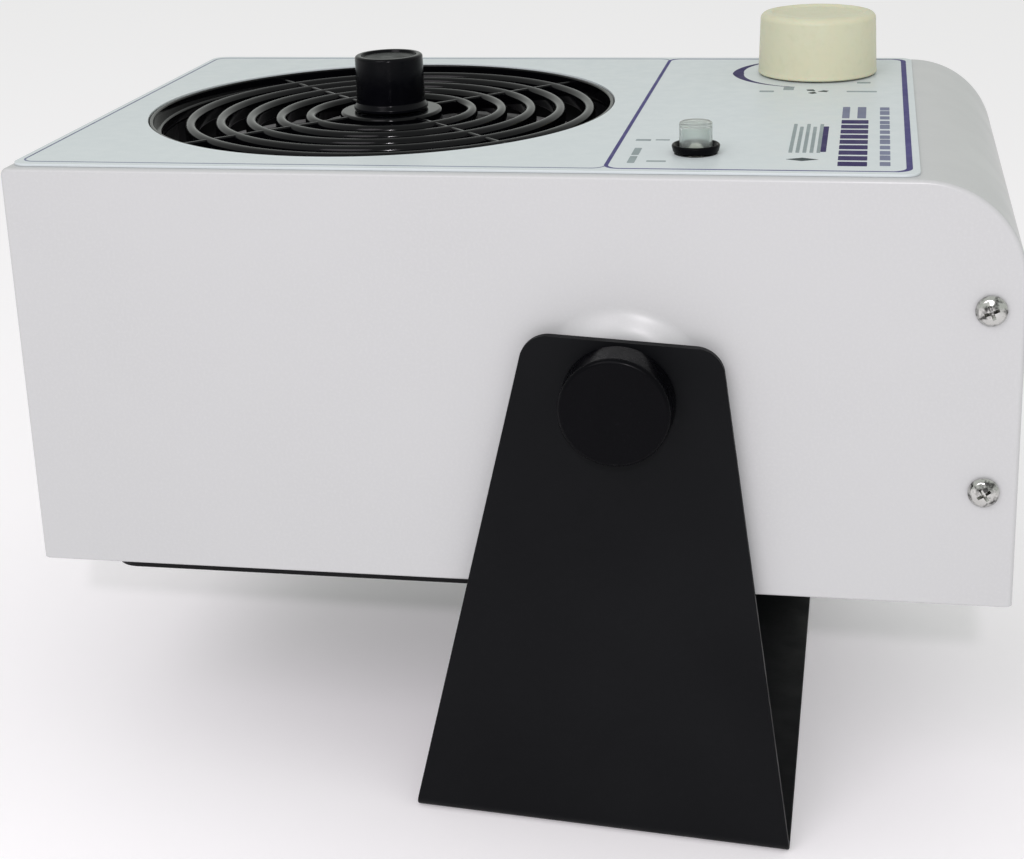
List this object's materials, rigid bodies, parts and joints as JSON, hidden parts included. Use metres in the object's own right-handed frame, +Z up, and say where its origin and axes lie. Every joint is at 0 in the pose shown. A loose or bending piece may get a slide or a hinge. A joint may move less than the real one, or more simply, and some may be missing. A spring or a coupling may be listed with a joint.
{
  "type": "ionizing air blower",
  "caption": "Bench-top ionizing air blower: white housing with a round fan grille, rotary and push controls, tilting on a black U-shaped stand.",
  "frame": {"origin": "centre of the underside of the stand, straight under the tilt axis", "axes": "+X along the housing towards its control end, +Y across it away from the side with the push-button, +Z up"},
  "size_m": [0.2271, 0.1686, 0.1743],
  "materials": {
    "white_paint": "satin white powder coat",
    "label_film": "pale grey-green printed film",
    "black_plastic": "black moulded plastic",
    "black_enamel": "satin black enamel",
    "ivory_plastic": "ivory moulded plastic",
    "clear_plastic": "clear moulded plastic",
    "grey_plastic": "light grey insulating plastic",
    "bright_zinc": "bright zinc plate",
    "steel": "bare steel",
    "brass": "machined brass",
    "copper": "enamelled copper winding on laminations",
    "rubber": "black rubber",
    "foam": "open-cell filter foam",
    "circuit_green": "green circuit board",
    "red_wire": "red silicone-insulated lead",
    "amber_lamp": "amber lamp envelope",
    "bristle": "stiff brush bristle"
  },
  "bodies": {
    "stand": {"tilt_bracket": "black_enamel", "friction_washer_near": "rubber", "friction_washer_far": "rubber"},
    "housing": {"front_cover": "white_paint", "front_label": "label_film", "rear_panel": "white_paint", "side_screw_1": "bright_zinc", "side_screw_2": "bright_zinc", "side_screw_3": "bright_zinc", "side_screw_4": "bright_zinc", "tilt_insert_near": "brass", "tilt_insert_far": "brass", "front_grille": "black_plastic", "emitter_ring": "grey_plastic", "emitter_needle_1": "steel", "emitter_needle_2": "steel", "emitter_needle_3": "steel", "emitter_needle_4": "steel", "emitter_needle_5": "steel", "emitter_needle_6": "steel", "emitter_needle_7": "steel", "emitter_needle_8": "steel", "air_duct": "black_plastic", "fan_frame": "black_plastic", "motor_stator": "copper", "rear_bearing": "steel", "front_bearing": "steel", "rear_guard": "black_plastic", "foam_filter": "foam", "filter_cover": "black_plastic", "fan_screw_1": "bright_zinc", "fan_screw_2": "bright_zinc", "fan_screw_3": "bright_zinc", "fan_screw_4": "bright_zinc", "speed_control": "grey_plastic", "control_nut": "brass", "button_bezel": "black_plastic", "button_lamp": "amber_lamp", "switch_body": "black_plastic", "mains_inlet": "black_plastic", "line_pin": "bright_zinc", "earth_pin": "bright_zinc", "neutral_pin": "bright_zinc", "high_voltage_block": "black_plastic", "control_board": "circuit_green", "supply_transformer": "steel", "emitter_lead": "red_wire"},
    "impeller": {"impeller": "black_plastic", "fan_shaft": "steel"},
    "cleaner": {"cleaner_knob": "black_plastic", "cleaner_shaft": "steel", "brush_arm": "black_plastic", "cleaner_brush": "bristle"},
    "speed_knob": {"speed_knob": "ivory_plastic", "control_shaft": "steel"},
    "power_button": {"button_cap": "clear_plastic"},
    "clamp_near": {"thumb_knob_near": "black_plastic", "thumb_stud_near": "bright_zinc"},
    "clamp_far": {"thumb_knob_far": "black_plastic", "thumb_stud_far": "bright_zinc"}
  },
  "joints": [
    {"name": "tilt", "type": "hinge", "parent": "stand", "child": "housing", "pos_m": [0, 0, 0.107], "axis": [0, 1, 0], "range_deg": [-22, 185]},
    {"name": "fan_spin", "type": "hinge", "parent": "housing", "child": "impeller", "pos_m": [-0.06508, 0, 0.07779], "axis": [-0.0593, 0, 0.9982], "continuous": true},
    {"name": "cleaner_turn", "type": "hinge", "parent": "housing", "child": "cleaner", "pos_m": [-0.06938, 0, 0.15006], "axis": [-0.0593, 0, 0.9982], "continuous": true},
    {"name": "speed_turn", "type": "hinge", "parent": "housing", "child": "speed_knob", "pos_m": [0.03418, 0.0453, 0.15722], "axis": [-0.0593, 0, 0.9982], "range_deg": [-140, 140]},
    {"name": "power_press", "type": "slide", "parent": "housing", "child": "power_button", "axis": [0.0593, 0, -0.9982], "range_m": [0, 0.0025], "stiffness_N_per_m": 500, "springref_m": -0.0006},
    {"name": "clamp_near_turn", "type": "hinge", "parent": "housing", "child": "clamp_near", "pos_m": [0, -0.0756, 0.107], "axis": [0, -1, 0], "continuous": true},
    {"name": "clamp_far_turn", "type": "hinge", "parent": "housing", "child": "clamp_far", "pos_m": [0, 0.0756, 0.107], "axis": [0, 1, 0], "continuous": true}
  ]
}
